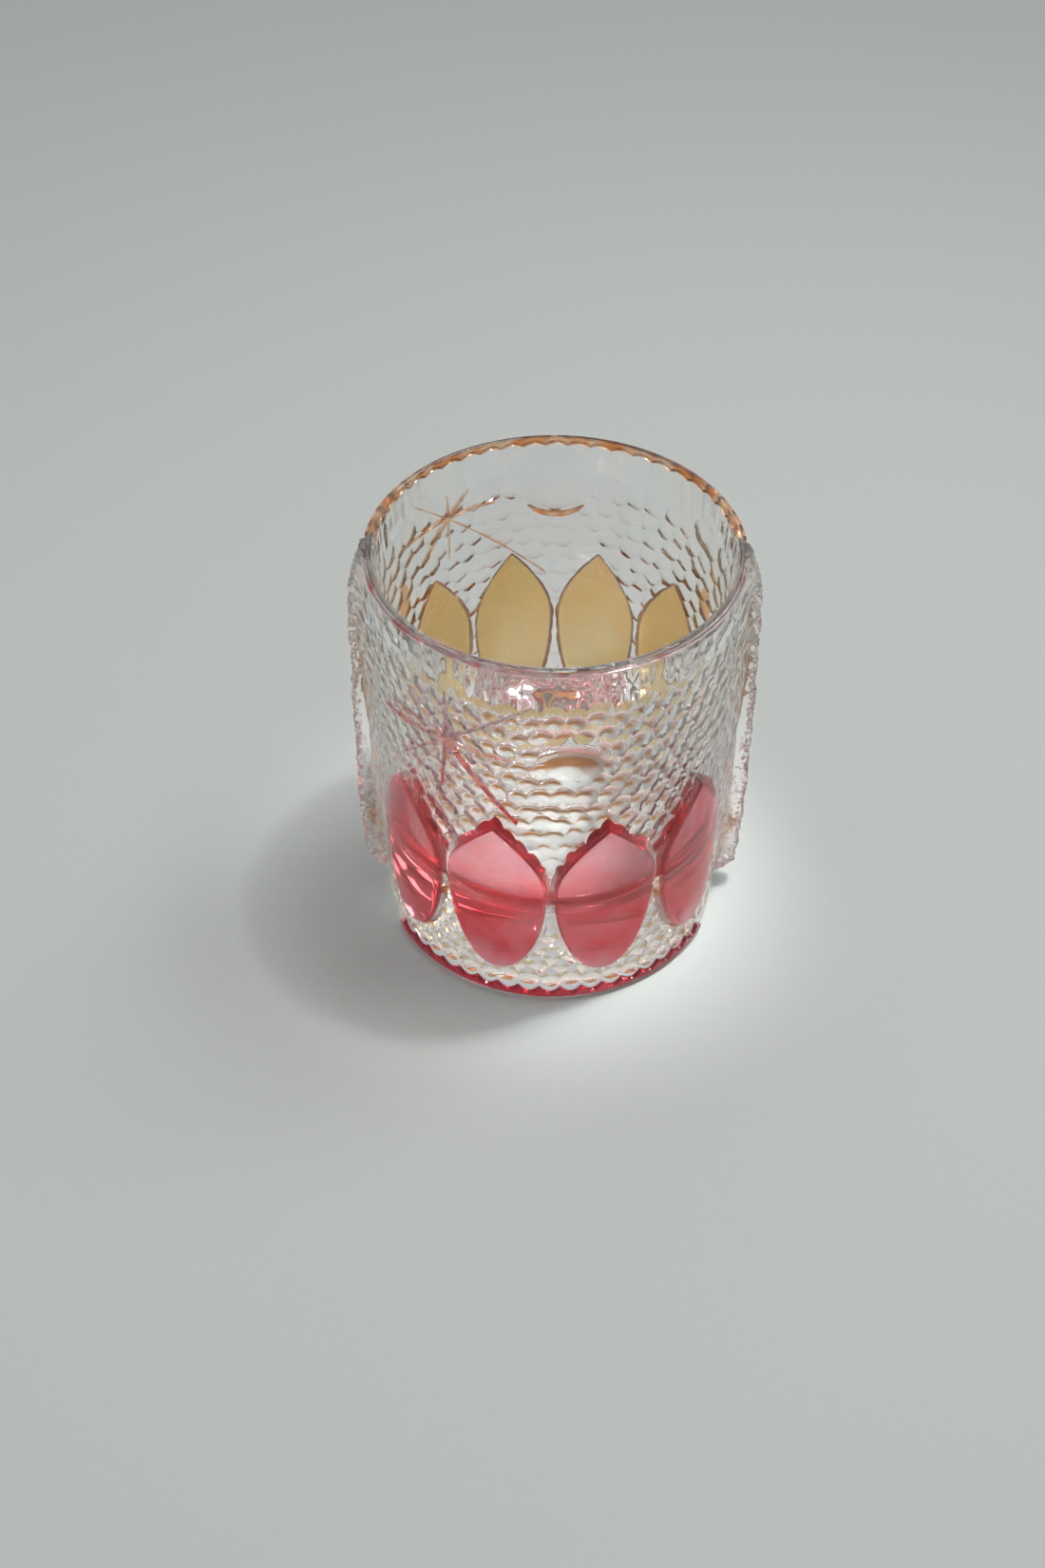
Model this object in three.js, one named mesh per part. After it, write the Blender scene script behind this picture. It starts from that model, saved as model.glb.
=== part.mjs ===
// Cut, cased crystal rocks glass.
// Millimetres, +Z up, standing on z = 0, with the ruby front towards -Y and the fins at -X and +X.
// Azimuths are measured from the front, positive towards +X.
import * as THREE from 'three';

// Body of the glass
const HEIGHT = 99.5;
const RIM_RADIUS = 40.0; // outside of the casing at the rim
const BASE_RADIUS = 38.9; // outside of the casing at the foot
const LIP_WALL = 2.6; // wall at the rim, casing included
const FLOOR_WALL = 4.6; // wall where it meets the floor, casing included
const FLOOR_THICKNESS = 22.0;
const WELL_FILLET = 12.0;
const LIP_CHAMFER = 0.5;
const FOOT_CHAMFER = 0.8;

// Coloured casing left standing on the crystal
const CASING = 0.7;
const SEAT = 0.3; // clearance between the crystal and what is fused to it

// Scale cuts between the plain rim band and the foot
const SCALES_AROUND = 50;
const SCALE_ROW = 4.3;
const SCALE_DEPTH = 0.5;
const RIM_BAND = 9.6;
const FOOT_BAND = 4.2;

// Round lens cuts, one in front and one behind
const LENS_RADIUS = 8.7;
const LENS_DEPTH = 1.2;
const FRONT_LENS = { azimuth: 7, drop: 25.4 }; // degrees, and the centre's distance below the rim
const BACK_LENS = { azimuth: 180, drop: 12.5 };
const CRESCENT_HALF_SPAN = 7.0;
const CRESCENT_SAG = 1.2;

// Eight-rayed stars, one in front and one behind. A ray is its direction on the surface, in degrees from
// the side towards up, and its share of the star's reach.
const STAR_RAY_WIDTH = 0.7;
const STAR_TIP_WIDTH = 0.25;
const RUBY_STAR = {
  azimuth: -34.5,
  drop: 24.9,
  reach: 25.0,
  rays: [[37, 0.96], [89, 0.52], [142, 0.52], [192, 0.84], [224, 0.96], [264, 0.6], [310, 1], [356, 0.6]],
};
const AMBER_STAR = {
  azimuth: -141,
  drop: 16.1,
  reach: 32.0,
  rays: [[0, 0.44], [39, 0.4], [88, 0.19], [135, 0.25], [178, 0.38], [221, 1], [272, 0.34], [315, 0.38]],
};

// Petal panels, in a row on each side between the fins
const PETALS_PER_SIDE = 4;
const RUBY_BOTTOM = 9.0;
const AMBER_BOTTOM = 23.0;
const RUBY_TIP_DROP = 45.5; // the tips' distance below the rim
const AMBER_TIP_DROP = 31.5;
const PETAL_GAP = 1.6;
const PETAL_WAIST = 0.6; // height of the widest place, as a share of the petal
const PETAL_TAPER = 1.8; // how late the petal draws in towards its tip
const PETAL_END = 0.35; // half width left at the blunt ends
const RUBY_MARGIN = 8.0; // clear field between a fin and the nearest petal
const AMBER_MARGIN = 16.0;

// Casing bands at the rim and the foot
const AMBER_RIM_HEIGHT = 2.2;
const RUBY_LIP_HEIGHT = 1.2;
const BAND_TOP_DROP = 0.6;
const FOOT_RING_BOTTOM = 1.0;
const FOOT_RING_HEIGHT = 3.0;
const RIM_SCALLOP_DEPTH = 0.7;
const FOOT_SCALLOP_DEPTH = 1.1;
const RIM_BAND_CLEARANCE = 0.8; // between a fin's flank and a rim band
const FOOT_RING_MARGIN = 14.0; // clear foot beside a fin

// Side fins
const FIN_FOOT_REACH = 5.0; // beyond the outside at the foot
const FIN_RIM_REACH = 3.4; // beyond the outside at the rim
const FIN_BULGE = 0.9; // how much more the fin reaches at mid height
const FIN_ROOT_WIDTH = 7.0;
const FIN_EDGE_WIDTH = 3.6;
const FIN_BOTTOM = 5.2;
const FIN_TOP_DROP = 0.8;
const FIN_TOP_SLOPE = 7.5; // height of the sloped shoulder under the rim
const FIN_BOTTOM_SLOPE = 2.3;
const FIN_FOOT_END = 2.2; // beyond the root, at the very bottom
const FIN_RIM_END = 1.3; // beyond the root, at the very top
const FIN_CHIP = 0.8; // depth of the chipped outer edge
const FIN_STEP = 2.3;

// Mesh fineness
const COLUMNS = 2 * SCALES_AROUND;
const FILLET_STEPS = 4;
const PETAL_COLUMNS = 6;
const PETAL_ROWS = 14;
const SCALLOP_STEPS = 4;
const CRESCENT_COLUMNS = 10;
const RAY_STEPS = 4;

const CRYSTAL = new THREE.MeshStandardMaterial({
  color: 0xf2f5f5, roughness: 0.03, metalness: 0, transparent: true, opacity: 0.4,
});
const CHIPPED_CRYSTAL = new THREE.MeshStandardMaterial({
  color: 0xeceeee, roughness: 0.25, metalness: 0, transparent: true, opacity: 0.5,
});
const RUBY = new THREE.MeshStandardMaterial({
  color: 0xb8283a, roughness: 0.04, metalness: 0, transparent: true, opacity: 0.6,
});
const AMBER = new THREE.MeshStandardMaterial({
  color: 0xc8893a, roughness: 0.04, metalness: 0, transparent: true, opacity: 0.6,
});

const radians = THREE.MathUtils.degToRad;
const outerRadius = (z) => BASE_RADIUS + (RIM_RADIUS - BASE_RADIUS) * (z / HEIGHT);
const casingSeat = (z) => outerRadius(z) - CASING;
const coreRadius = (z) => casingSeat(z) - SEAT;
const wellRadius = (z) => {
  const rise = (z - FLOOR_THICKNESS) / (HEIGHT - FLOOR_THICKNESS);
  return outerRadius(z) - FLOOR_WALL + (FLOOR_WALL - LIP_WALL) * rise;
};
const onCircle = (azimuth, radius, z) => [
  radius * Math.sin(azimuth),
  -radius * Math.cos(azimuth),
  z,
];

// A repeatable number between 0 and 1 for step k.
const scatter = (k) => THREE.MathUtils.seededRandom(k + 1);

// Half of the angle that a fin's root takes up, with a margin on the surface beside it.
const finHalfAngle = (margin) => (FIN_ROOT_WIDTH / 2 + margin) / coreRadius(HEIGHT / 2);

const lensDistance = (lens, azimuth, z) => {
  const turn = THREE.MathUtils.euclideanModulo(
    azimuth - radians(lens.azimuth) + Math.PI,
    2 * Math.PI,
  ) - Math.PI;
  return Math.hypot(turn * coreRadius(z), z - (HEIGHT - lens.drop));
};

// The petals of one side: the middle azimuth of each, and the greatest half width along the surface.
const petalSide = (turn, bottom, tip, margin) => {
  const pitch = (Math.PI - 2 * finHalfAngle(margin)) / PETALS_PER_SIDE;
  return {
    bottom,
    tip,
    widest: (pitch * coreRadius(HEIGHT / 2) - PETAL_GAP) / 2,
    centres: Array.from(
      { length: PETALS_PER_SIDE },
      (_, k) => turn + (k - (PETALS_PER_SIDE - 1) / 2) * pitch,
    ),
  };
};
const rubySide = petalSide(0, RUBY_BOTTOM, HEIGHT - RUBY_TIP_DROP, RUBY_MARGIN);
const amberSide = petalSide(Math.PI, AMBER_BOTTOM, HEIGHT - AMBER_TIP_DROP, AMBER_MARGIN);
const petalHalfWidth = (widest, share) => {
  if (share < PETAL_WAIST) {
    const down = 1 - share / PETAL_WAIST;
    return Math.max(PETAL_END, widest * Math.sqrt(1 - down * down));
  }
  const up = (share - PETAL_WAIST) / (1 - PETAL_WAIST);
  return Math.max(PETAL_END, widest * (1 - Math.pow(up, PETAL_TAPER)));
};

// True where a petal panel covers the crystal, so that nothing is cut there.
const underPetal = (azimuth, z) => [rubySide, amberSide].some(({ bottom, tip, widest, centres }) => {
  const share = (z - bottom) / (tip - bottom);
  if (share < 0 || share > 1) return false;
  return centres.some((centre) => {
    const off = THREE.MathUtils.euclideanModulo(azimuth - centre + Math.PI, 2 * Math.PI);
    return Math.abs(off - Math.PI) * coreRadius(z) < petalHalfWidth(widest, share) + PETAL_GAP / 2;
  });
});

// True on the plain strip that a fin stands on.
const underFin = (azimuth) => Math.abs(Math.cos(azimuth)) < Math.sin(finHalfAngle(PETAL_GAP));

// How far the crystal is cut back at a point of the field. Scale centres are deep, ridges stay.
const cutDepth = (azimuth, z, isScaleCentre) => {
  const inLens = [FRONT_LENS, BACK_LENS]
    .map((lens) => lensDistance(lens, azimuth, z) / LENS_RADIUS)
    .find((share) => share < 1);
  if (inLens !== undefined) return LENS_DEPTH * (1 - inLens * inLens);
  if (!isScaleCentre || underFin(azimuth) || underPetal(azimuth, z)) return 0;
  return SCALE_DEPTH;
};

function solid(points, triangles) {
  const geometry = new THREE.BufferGeometry();
  geometry.setAttribute('position', new THREE.Float32BufferAttribute(points.flat(), 3));
  geometry.setIndex(triangles.flat());
  geometry.computeVertexNormals();
  return geometry;
}

// The crystal: rings of points from the middle of the base, up the outside, over the lip and
// down the well to the middle of its floor.
function crystalBody() {
  const rows = 2 * Math.round((HEIGHT - RIM_BAND - FOOT_BAND) / (2 * SCALE_ROW));
  const rowHeight = (HEIGHT - RIM_BAND - FOOT_BAND) / rows;
  const plain = (radius, z) => ({ z, radius: () => radius });
  const cut = (row) => {
    const z = FOOT_BAND + row * rowHeight;
    return {
      z,
      radius: (azimuth, column) => coreRadius(z) - cutDepth(azimuth, z, (column + row) % 2 === 0),
    };
  };
  const field = Array.from({ length: rows - 1 }, (_, k) => cut(k + 1));
  const filletTop = FLOOR_THICKNESS + WELL_FILLET;
  const filletMiddle = wellRadius(filletTop) - WELL_FILLET;
  const fillet = Array.from({ length: FILLET_STEPS + 1 }, (_, k) => {
    const bend = (k / FILLET_STEPS) * (Math.PI / 2);
    return plain(
      filletMiddle + WELL_FILLET * Math.cos(bend),
      filletTop - WELL_FILLET * Math.sin(bend),
    );
  });
  const rings = [
    plain(coreRadius(0) - FOOT_CHAMFER, 0),
    plain(coreRadius(FOOT_CHAMFER), FOOT_CHAMFER),
    plain(coreRadius(FOOT_BAND), FOOT_BAND),
    ...field,
    plain(coreRadius(HEIGHT - RIM_BAND), HEIGHT - RIM_BAND),
    plain(coreRadius(HEIGHT - LIP_CHAMFER), HEIGHT - LIP_CHAMFER),
    plain(coreRadius(HEIGHT) - LIP_CHAMFER, HEIGHT),
    plain(wellRadius(HEIGHT) + LIP_CHAMFER, HEIGHT),
    plain(wellRadius(HEIGHT - LIP_CHAMFER), HEIGHT - LIP_CHAMFER),
    ...fillet,
  ];
  const firstFieldRing = 2;
  const points = rings.flatMap(({ z, radius }) => Array.from({ length: COLUMNS }, (_, column) => {
    const azimuth = (column / COLUMNS) * 2 * Math.PI;
    return onCircle(azimuth, radius(azimuth, column), z);
  }));
  const baseMiddle = points.push([0, 0, 0]) - 1;
  const floorMiddle = points.push([0, 0, FLOOR_THICKNESS]) - 1;
  const triangles = [];
  for (let column = 0; column < COLUMNS; column += 1) {
    const next = (column + 1) % COLUMNS;
    const top = (rings.length - 1) * COLUMNS;
    triangles.push([baseMiddle, next, column], [floorMiddle, top + column, top + next]);
    for (let ring = 0; ring < rings.length - 1; ring += 1) {
      const a = ring * COLUMNS + column;
      const b = ring * COLUMNS + next;
      const c = b + COLUMNS;
      const d = a + COLUMNS;
      const ridgeRises = (column + ring - firstFieldRing) % 2 !== 0;
      if (ridgeRises) triangles.push([a, b, c], [a, c, d]);
      else triangles.push([a, b, d], [b, c, d]);
    }
  }
  return solid(points, triangles);
}

// A closed sheet of casing over the points of one face, given as azimuth and height. The triangles and the
// border turn counterclockwise seen from outside.
function casingSheet(places, face, border) {
  const at = (radiusAt) => places.map(([azimuth, z]) => onCircle(azimuth, radiusAt(z), z));
  const back = places.length;
  const triangles = face.flatMap(([a, b, c]) => [[a, b, c], [back + a, back + c, back + b]]);
  border.forEach((a, k) => {
    const b = border[(k + 1) % border.length];
    triangles.push([a, back + a, back + b], [a, back + b, b]);
  });
  return solid([...at(outerRadius), ...at(casingSeat)], triangles);
}

// A panel of casing. place(u, v) gives the azimuth and height of each point of its grid.
function casingPanel(place, columns, rows) {
  const stride = columns + 1;
  const places = [];
  const face = [];
  for (let row = 0; row <= rows; row += 1) {
    for (let column = 0; column <= columns; column += 1) {
      places.push(place(column / columns, row / rows));
      if (row === rows || column === columns) continue;
      const a = row * stride + column;
      const d = a + stride;
      face.push([a, a + 1, d + 1], [a, d + 1, d]);
    }
  }
  const along = (count, index) => Array.from({ length: count }, (_, k) => index(k));
  const border = [
    ...along(columns, (k) => k),
    ...along(rows, (k) => k * stride + columns),
    ...along(columns, (k) => rows * stride + columns - k),
    ...along(rows, (k) => (rows - k) * stride),
  ];
  return casingSheet(places, face, border);
}

function petalPanel(centre, { bottom, tip, widest }) {
  return casingPanel((u, v) => {
    const share = (1 - Math.cos(Math.PI * v)) / 2; // closer rows at the round ends
    const z = bottom + share * (tip - bottom);
    return [centre + ((2 * u - 1) * petalHalfWidth(widest, share)) / coreRadius(z), z];
  }, PETAL_COLUMNS, PETAL_ROWS);
}

// A band round one side of the glass. Its scalloped edge follows the scales.
function casingBand(middle, halfAngle, bottom, top, scallopBottom, scallopTop) {
  const scallops = Math.max(1, Math.round((halfAngle / Math.PI) * SCALES_AROUND));
  const arch = (u) => Math.abs(Math.sin(Math.PI * u * scallops));
  return casingPanel((u, v) => {
    const low = bottom + scallopBottom * arch(u);
    const high = top - scallopTop * arch(u);
    return [middle + (2 * u - 1) * halfAngle, low + v * (high - low)];
  }, scallops * SCALLOP_STEPS, 1);
}

// The sliver of amber that the back lens leaves inside its lower edge.
function lensCrescent() {
  const middle = HEIGHT - BACK_LENS.drop;
  const edge = (s) => middle - Math.sqrt(LENS_RADIUS * LENS_RADIUS - s * s);
  return casingPanel((u, v) => {
    const s = (2 * u - 1) * CRESCENT_HALF_SPAN;
    const rise = 1 - (s / CRESCENT_HALF_SPAN) ** 2;
    const high = edge(CRESCENT_HALF_SPAN) - CRESCENT_SAG * rise + PETAL_END;
    return [radians(BACK_LENS.azimuth) + s / coreRadius(middle), edge(s) + v * (high - edge(s))];
  }, CRESCENT_COLUMNS, 1);
}

// A star of casing: thin rays that taper away from a shared middle. The corners where two rays meet lie on
// the line halfway between them.
function starPanel({ azimuth, drop, reach, rays }) {
  const middle = HEIGHT - drop;
  const places = [];
  const put = (along, across, turn) => {
    const s = along * Math.cos(turn) - across * Math.sin(turn);
    const rise = along * Math.sin(turn) + across * Math.cos(turn);
    return places.push([radians(azimuth) + s / coreRadius(middle), middle + rise]) - 1;
  };
  const hub = put(0, 0, 0);
  const corners = rays.map(([turn], k) => {
    const [next] = rays[(k + 1) % rays.length];
    const half = radians(THREE.MathUtils.euclideanModulo(next - turn, 360)) / 2;
    return put(STAR_RAY_WIDTH / 2 / Math.sin(half), 0, radians(turn) + half);
  });
  const face = [];
  const border = [];
  rays.forEach(([turn, part], k) => {
    let right = corners[(k + rays.length - 1) % rays.length];
    let left = corners[k];
    const returning = [left];
    face.push([hub, right, left]);
    border.push(right);
    for (let step = 1; step <= RAY_STEPS; step += 1) {
      const share = step / RAY_STEPS;
      const halfWidth = THREE.MathUtils.lerp(STAR_RAY_WIDTH, STAR_TIP_WIDTH, share) / 2;
      const farRight = put(share * part * reach, -halfWidth, radians(turn));
      const farLeft = put(share * part * reach, halfWidth, radians(turn));
      face.push([right, farRight, farLeft], [right, farLeft, left]);
      border.push(farRight);
      returning.unshift(farLeft);
      right = farRight;
      left = farLeft;
    }
    border.push(...returning.slice(0, -1));
  });
  return casingSheet(places, face, border);
}

// A side fin: a tapered plate that stands on the crystal, with sloped ends and a chipped outer edge.
function sideFin(side) {
  const top = HEIGHT - FIN_TOP_DROP;
  const steps = Math.round((top - FIN_BOTTOM) / FIN_STEP);
  const points = [];
  for (let step = 0; step <= steps; step += 1) {
    const share = step / steps;
    const z = FIN_BOTTOM + share * (top - FIN_BOTTOM);
    const root = coreRadius(z) + SEAT;
    const chip = FIN_CHIP * scatter(step + (side > 0 ? 0 : steps));
    const straight = THREE.MathUtils.lerp(BASE_RADIUS + FIN_FOOT_REACH, RIM_RADIUS + FIN_RIM_REACH, share);
    const full = straight + FIN_BULGE * (1 - (2 * share - 1) ** 2) - chip;
    const fromEnd = Math.min((z - FIN_BOTTOM) / FIN_BOTTOM_SLOPE, (top - z) / FIN_TOP_SLOPE, 1);
    const end = share < 0.5 ? FIN_FOOT_END : FIN_RIM_END;
    const reach = root + end + (full - root - end) * fromEnd;
    const section = [
      [root, -FIN_ROOT_WIDTH / 2],
      [reach, -FIN_EDGE_WIDTH / 2],
      [reach, FIN_EDGE_WIDTH / 2],
      [root, FIN_ROOT_WIDTH / 2],
    ];
    points.push(...section.map(([x, y]) => [side * x, side * y, z]));
  }
  const triangles = [[0, 2, 1], [0, 3, 2]];
  const last = steps * 4;
  triangles.push([last, last + 1, last + 2], [last, last + 2, last + 3]);
  for (let step = 0; step < steps; step += 1) {
    for (let corner = 0; corner < 4; corner += 1) {
      const a = step * 4 + corner;
      const b = step * 4 + ((corner + 1) % 4);
      triangles.push([a, b, b + 4], [a, b + 4, a + 4]);
    }
  }
  return solid(points, triangles);
}

const glass = new THREE.Group();
const add = (name, geometry, material) => {
  const mesh = new THREE.Mesh(geometry, material);
  mesh.name = name;
  glass.add(mesh);
};

add('crystal_body', crystalBody(), CRYSTAL);
add('fin_left', sideFin(-1), CHIPPED_CRYSTAL);
add('fin_right', sideFin(1), CHIPPED_CRYSTAL);

const addPetals = (name, side, material) => side.centres.forEach((centre, k) => {
  add(`${name}_${k + 1}`, petalPanel(centre, side), material);
});
addPetals('ruby_petal', rubySide, RUBY);
addPetals('amber_petal', amberSide, AMBER);
add('amber_crescent', lensCrescent(), AMBER);
add('ruby_star', starPanel(RUBY_STAR), RUBY);
add('amber_star', starPanel(AMBER_STAR), AMBER);

const bandTop = HEIGHT - BAND_TOP_DROP;
const rimHalfAngle = Math.PI / 2 - finHalfAngle(RIM_BAND_CLEARANCE);
const footHalfAngle = Math.PI / 2 - finHalfAngle(FOOT_RING_MARGIN);
const footTop = FOOT_RING_BOTTOM + FOOT_RING_HEIGHT;
const rimBand = (middle, height, scallop) => (
  casingBand(middle, rimHalfAngle, bandTop - height, bandTop, scallop, 0)
);
const footRing = (middle) => (
  casingBand(middle, footHalfAngle, FOOT_RING_BOTTOM, footTop, 0, FOOT_SCALLOP_DEPTH)
);
add('amber_rim_band', rimBand(Math.PI, AMBER_RIM_HEIGHT, RIM_SCALLOP_DEPTH), AMBER);
add('ruby_lip_band', rimBand(0, RUBY_LIP_HEIGHT, 0), RUBY);
add('ruby_foot_ring', footRing(0), RUBY);
add('amber_foot_ring', footRing(Math.PI), AMBER);

export default glass;
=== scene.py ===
"""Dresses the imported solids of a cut, cased crystal rocks glass.

Metres, +Z up, standing on z = 0, with the ruby front towards -Y. Azimuths are measured from the front,
positive towards +X.
"""

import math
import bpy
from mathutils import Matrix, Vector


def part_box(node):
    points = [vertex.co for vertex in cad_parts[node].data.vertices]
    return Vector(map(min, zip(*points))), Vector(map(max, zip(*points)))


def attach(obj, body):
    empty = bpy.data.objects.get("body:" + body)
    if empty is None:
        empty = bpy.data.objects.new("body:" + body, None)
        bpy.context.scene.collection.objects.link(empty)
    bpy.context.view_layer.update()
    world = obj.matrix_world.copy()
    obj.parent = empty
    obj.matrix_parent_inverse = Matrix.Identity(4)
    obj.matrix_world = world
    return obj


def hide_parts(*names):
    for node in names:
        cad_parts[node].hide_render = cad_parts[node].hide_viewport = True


bl_info = {
    "name": "Cut Cased Rocks Glass",
    "version": (1, 0, 0),
    "blender": (4, 5, 0),
    "location": "View3D > Sidebar > Rocks Glass",
    "description": "Builds a cut crystal tumbler with ruby and amber casing around its packed solids",
    "category": "Object",
}

import bmesh
import bpy
import numpy as np
from bpy.props import FloatProperty, FloatVectorProperty, IntProperty, PointerProperty
from mathutils import Matrix, Vector

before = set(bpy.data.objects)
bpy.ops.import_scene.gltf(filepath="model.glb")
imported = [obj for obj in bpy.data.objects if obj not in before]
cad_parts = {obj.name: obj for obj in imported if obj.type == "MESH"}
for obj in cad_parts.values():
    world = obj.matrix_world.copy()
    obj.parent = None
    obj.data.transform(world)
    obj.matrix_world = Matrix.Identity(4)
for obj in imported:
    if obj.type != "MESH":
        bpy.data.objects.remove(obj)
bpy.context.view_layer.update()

MM = 0.001
SEED = 20

# Fineness of the meshes
COLUMNS_PER_SCALE = 8
STEPS_PER_ROW = 8
LIP_STEPS = 5
FLARE_RINGS = 4
WALL_RINGS = 14
FILLET_STEPS = 8
FLOOR_SHARES = (0.7, 0.4, 0.15)  # rings on the well's floor, as shares of its radius
FLUTE_RINGS = 6
PETAL_COLUMNS = 18
PETAL_STATIONS = 40
SCALLOP_STEPS = 10
CRESCENT_STEPS = 40
RAY_STEPS = 16
LENS_RINGS = 20
LENS_SPOKES = 72
FIN_STEP = 0.45 * MM
FLANK_POINTS = 14
EDGE_POINTS = 7
BISECTIONS = 40
WELD = 1e-7  # distance within which points become one
TIP_WELD = 2e-6  # the same at the tips of petals


def lengths(name, description, default):
    """A length property in metres."""
    return FloatProperty(
        name=name, description=description, default=default, min=0.0, unit="LENGTH", precision=5
    )


def colours(name, description, default):
    """A linear colour property."""
    return FloatVectorProperty(
        name=name, description=description, default=default, size=3, min=0.0, max=1.0, subtype="COLOR"
    )


class GlassSizes(bpy.types.PropertyGroup):
    """Sizes of the glass body, its cuts and its casing."""

    height: lengths("Height", "From the table to the rim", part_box("crystal_body")[1].z)
    rim_radius: lengths("Rim radius", "Outside of the casing at the rim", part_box("amber_rim_band")[1].y)
    foot_radius: lengths("Foot radius", "Outside of the casing at the foot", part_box("amber_foot_ring")[1].y)
    lip_wall: lengths("Lip wall", "Wall at the rim, casing included", 2.6 * MM)
    floor_wall: lengths("Floor wall", "Wall where it meets the well's floor", 4.6 * MM)
    floor_thickness: lengths("Floor thickness", "Solid glass under the well", 22.0 * MM)
    well_fillet: lengths("Well fillet", "Rounding between the wall and the floor", 12.0 * MM)
    casing: lengths("Casing", "Coloured glass left standing over the cut crystal", 0.85 * MM)
    rim_band: lengths("Rim band", "Plain band above the scale cuts", 9.6 * MM)
    foot_band: lengths("Foot band", "Plain foot under the scale cuts", 3.2 * MM)
    top_row: lengths("Top row", "Height of the uppermost row of scales", 4.6 * MM)
    foot_row: lengths("Foot row", "Height of the lowest row of scales", 3.3 * MM)
    scale_depth: lengths("Scale depth", "Depth of a front scale cut in its middle", 0.84 * MM)
    lens_radius: lengths("Lens radius", "Outline of the two round lens cuts", 8.7 * MM)
    lens_depth: lengths("Lens depth", "Depth of a lens cut in its middle", 1.6 * MM)
    scales_around: IntProperty(name="Scales around", description="Scale cuts in one row", default=50, min=12)


class GlassColours(bpy.types.PropertyGroup):
    """Colours of the glass and of the floor under it."""

    crystal: colours("Crystal", "Clear glass", (0.985, 0.992, 0.99))
    grey_crystal: colours("Grey crystal", "Clear glass where it is less bright", (0.965, 0.972, 0.97))
    # speck_and_shade: the chips' tint, darkened further as painted shade of their shadow sides
    speck_and_shade: colours("Speck", "Tinted specks in the chipped edges", (0.42, 0.16, 0.15))
    ruby: colours("Ruby", "Light that passes the ruby casing once", (0.84, 0.04, 0.06))
    pale_ruby: colours("Pale ruby", "The thinner places of the ruby casing", (0.96, 0.46, 0.52))
    deep_ruby: colours("Deep ruby", "The thick ruby casing at the foot", (0.45, 0.02, 0.05))
    pink: colours("Pink", "The last trace of ruby on cut edges", (0.98, 0.84, 0.86))
    peach: colours("Peach", "The thinner places of the casing along the rim", (0.97, 0.65, 0.43))
    amber: colours("Amber", "Light that passes the amber casing once", (0.91, 0.58, 0.2))
    # Pale amber is also the lower part of the amber petals, where it is painted light
    pale_amber: colours("Pale amber", "The thinner places of the amber casing", (0.96, 0.76, 0.42))
    rim_amber: colours("Rim amber", "The redder amber casing along the rim", (0.88, 0.3, 0.07))
    # The trace colour is painted amber light, not casing: the glow that light through the amber casing casts
    # under the base
    trace: colours("Trace", "The trace of amber under the base that the cuts show", (0.55, 0.16, 0.015))
    floor: colours("Floor", "Plain floor", (0.62, 0.65, 0.63))


# Radii and places on the glass

class GlassForm:
    """The radii of the glass at any height, from the user's sizes."""

    def __init__(self, sizes):
        self.sizes = sizes

    def outer(self, z):
        """Outside of the casing."""
        s = self.sizes
        return s.foot_radius + (s.rim_radius - s.foot_radius) * z / s.height

    def core(self, z):
        """Outside of the crystal before it is cut."""
        return self.outer(z) - self.sizes.casing

    def well(self, z):
        """Inside of the wall."""
        s = self.sizes
        rise = (z - s.floor_thickness) / (s.height - s.floor_thickness)
        return self.outer(z) - s.floor_wall + (s.floor_wall - s.lip_wall) * rise


def on_circle(azimuth, radius, z):
    """Points at an azimuth, a radius and a height, as an array with x, y and z last."""
    return np.stack(np.broadcast_arrays(radius * np.sin(azimuth), -radius * np.cos(azimuth), z), axis=-1)


def half_turn(angle):
    """Angles brought between minus and plus half a turn."""
    return (angle + math.pi) % (2 * math.pi) - math.pi


def node_points(node):
    """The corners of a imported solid."""
    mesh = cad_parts[node].data
    points = np.zeros(len(mesh.vertices) * 3)
    mesh.vertices.foreach_get("co", points)
    return points.reshape(-1, 3)


# Meshes

def new_mesh(name, points, faces, tips=False):
    """A closed mesh with its faces turned outwards. With tips, faces that collapse there are left out."""
    mesh = bpy.data.meshes.new(name)
    mesh.from_pydata(np.asarray(points).reshape(-1, 3).tolist(), [], faces)
    sheet = bmesh.new()
    sheet.from_mesh(mesh)
    bmesh.ops.remove_doubles(sheet, verts=sheet.verts, dist=TIP_WELD if tips else WELD)
    if tips:
        bmesh.ops.dissolve_degenerate(sheet, edges=sheet.edges, dist=WELD)
        loose = [v for v in sheet.verts if not v.link_faces]
        bmesh.ops.delete(sheet, geom=loose, context="VERTS")
    bmesh.ops.recalc_face_normals(sheet, faces=sheet.faces)
    if sheet.calc_volume(signed=True) < 0:
        bmesh.ops.reverse_faces(sheet, faces=sheet.faces)
    sheet.to_mesh(mesh)
    sheet.free()
    return mesh


def tube_faces(rows, columns):
    """Quads of a grid of points that is closed round its columns, and a cap at each end."""
    index = np.arange(rows * columns).reshape(rows, columns)
    after = np.roll(index, -1, axis=1)
    quads = np.stack([index[:-1], after[:-1], after[1:], index[1:]], axis=-1)
    return [*quads.reshape(-1, 4).tolist(), index[0].tolist(), index[-1].tolist()]


def add_piece(name, mesh, material, nodes, sharp=20):
    """Puts a mesh into the scene as the piece that stands for some nodes of the frame."""
    piece = bpy.data.objects.new(name, mesh)
    bpy.context.collection.objects.link(piece)
    mesh.shade_smooth()
    mesh.set_sharp_from_angle(angle=math.radians(sharp))
    mesh.materials.clear()
    mesh.materials.append(material)
    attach(piece, "root")
    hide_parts(*nodes)


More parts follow.
